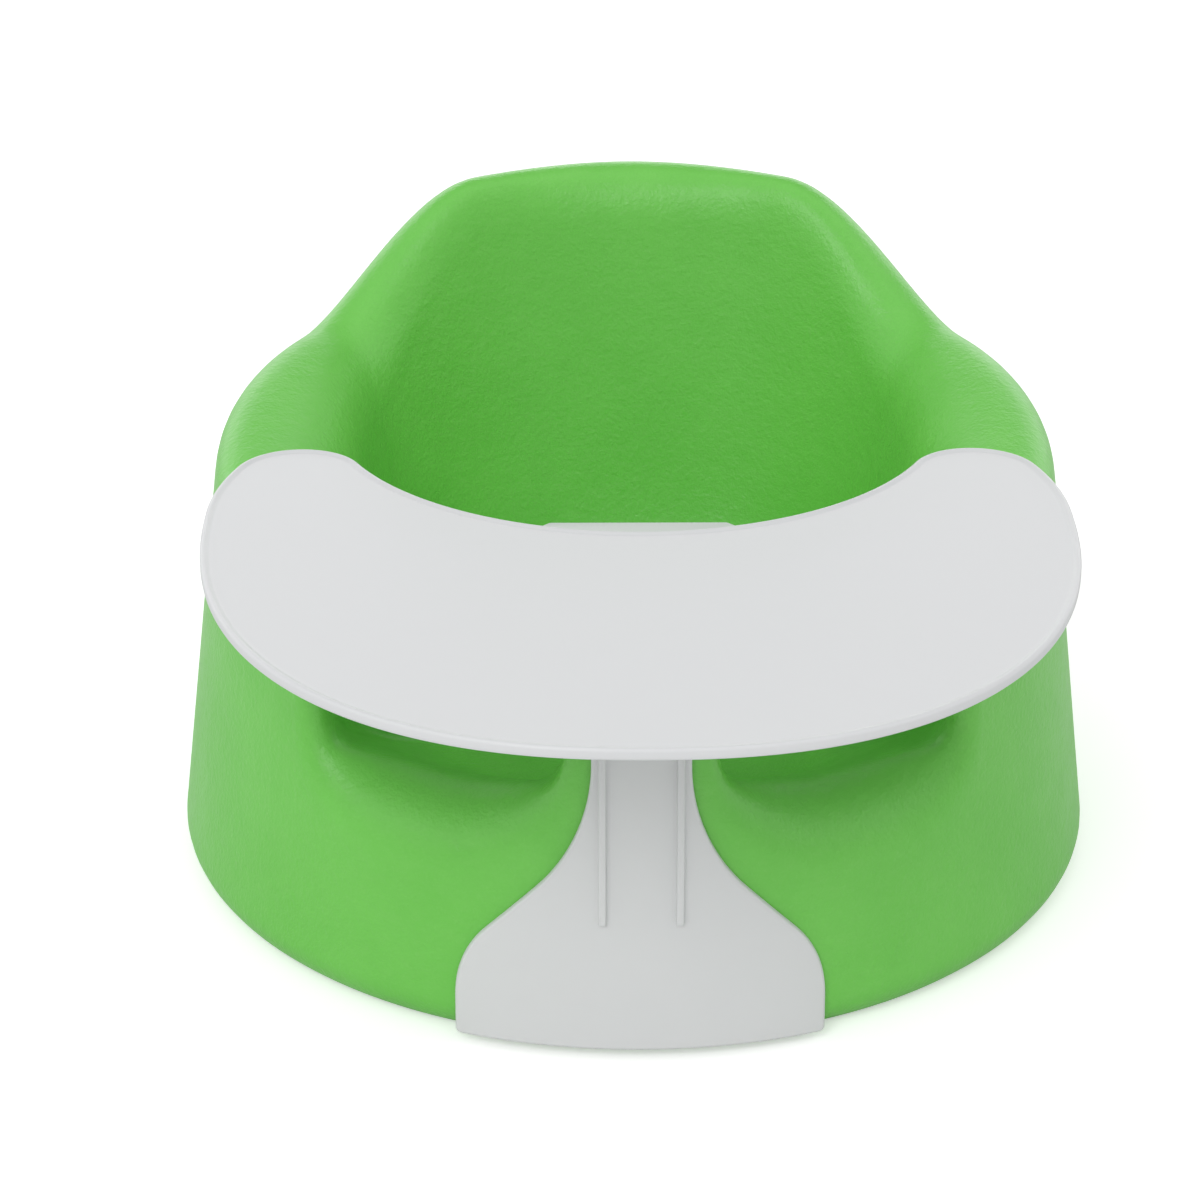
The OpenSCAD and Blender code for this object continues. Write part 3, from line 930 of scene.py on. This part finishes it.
screws.data.materials.append(zinc.surface({
    "Base Color": zinc.mix(zinc_cloud, (0.52, 0.53, 0.55, 1), (0.62, 0.63, 0.65, 1)),
    "Metallic": 1.0,
    "Roughness": 0.26 + zinc_cloud * 0.18,
    "Normal": zinc.bump(zinc.noise(zinc_place, 4000, 2, 0.5), 0.1, 0.0001),
}))
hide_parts("tray_screws")
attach(screws, "tray")


# ---- Floor and light ----
# A plain white floor under soft studio light: one large soft lamp from the upper left in front,
# a bright ceiling, a bright backdrop and less light from above behind. The camera sees white.

floor_reach = 8
floor_glow = 0.42
floor_points = [(x * floor_reach, y * floor_reach, 0) for x, y in ((-1, -1), (1, -1), (1, 1), (-1, 1))]
floor = make_piece("floor", floor_points, [(0, 1, 2, 3)])
paper = Finish(bpy.data.materials.new("white_paper"))
paper_rays = paper.node("ShaderNodeLightPath", output="Is Camera Ray")
paper_glow = paper.node("ShaderNodeEmission", {}, {
    "Color": (1, 1, 1, 1), "Strength": paper_rays * floor_glow})
paper_grain = paper.noise(paper.place(), 300, 2)
paper_body = paper.node("ShaderNodeBsdfDiffuse", {}, {
    "Color": paper.mix(paper_grain, (0.86, 0.86, 0.86, 1), (0.88, 0.88, 0.88, 1))})
paper.node("ShaderNodeOutputMaterial", {}, {
    "Surface": paper.node("ShaderNodeAddShader", {}, {0: paper_body, 1: paper_glow})})
floor.data.materials.append(paper.owner)

studio = Finish(bpy.data.worlds.new("studio"))
seen = studio.node("ShaderNodeLightPath", output="Is Camera Ray")
glossy = studio.node("ShaderNodeLightPath", output="Is Glossy Ray")
through = studio.node("ShaderNodeLightPath", output="Is Transmission Ray")
sky_low = 0.38
sky_high = 0.97
sky_loss_behind = 0.7
sky_gain_backdrop = 0.6
gloss_level = 1.15
gloss_loss_behind = 0.85
gloss_loss_front = 0.8
gloss_gain_backdrop = 0.7
sky_place = studio.node("ShaderNodeTexCoord", output="Generated")
sky_height = studio.node("ShaderNodeSeparateXYZ", {}, {"Vector": sky_place}, "Z")
sky_depth = studio.node("ShaderNodeSeparateXYZ", {}, {"Vector": sky_place}, "Y")
behind_above = studio.spot(sky_depth, 0, 0.6) * studio.spot(sky_height, 0.42, 0.60)
in_front = studio.spot(0 - sky_depth, 0.1, 0.7)
backdrop = studio.spot(sky_depth, 0.2, 0.7) * (1 - studio.spot(sky_height, 0.42, 0.60))
sky_glow = sky_low + (sky_high - sky_low) * studio.spot(sky_height, 0, 0.6)
soft_light = sky_glow * (1 - behind_above * sky_loss_behind) + backdrop * sky_gain_backdrop
gloss_light = gloss_level - behind_above * gloss_loss_behind - in_front * gloss_loss_front
gloss_light = gloss_light + backdrop * gloss_gain_backdrop
any_white = studio.node("ShaderNodeMath", {"operation": "MAXIMUM"}, {0: seen, 1: through})
ambient = soft_light + glossy * (gloss_light - soft_light)
studio.node("ShaderNodeOutputWorld", {}, {"Surface": studio.node("ShaderNodeBackground", {}, {
    "Color": (1, 1, 1, 1), "Strength": any_white * (1 - ambient) + ambient})})
bpy.context.scene.world = studio.owner


lamp_target = Vector((0, 0, 0.12))


def soft_lamp(name, place, width, power):
    """A round lamp that shines towards the middle of the seat."""
    lamp = bpy.data.objects.new(name, bpy.data.lights.new(name, "AREA"))
    lamp.data.shape = "DISK"
    lamp.data.size = width
    lamp.data.energy = power
    lamp.location = place
    lamp.rotation_euler = (lamp_target - Vector(place)).to_track_quat("-Z", "Y").to_euler()
    bpy.context.scene.collection.objects.link(lamp)


soft_lamp("key", (-0.72, -1.92, 1.66), 1.1, 15.5)
bpy.context.scene.view_settings.view_transform = "Standard"
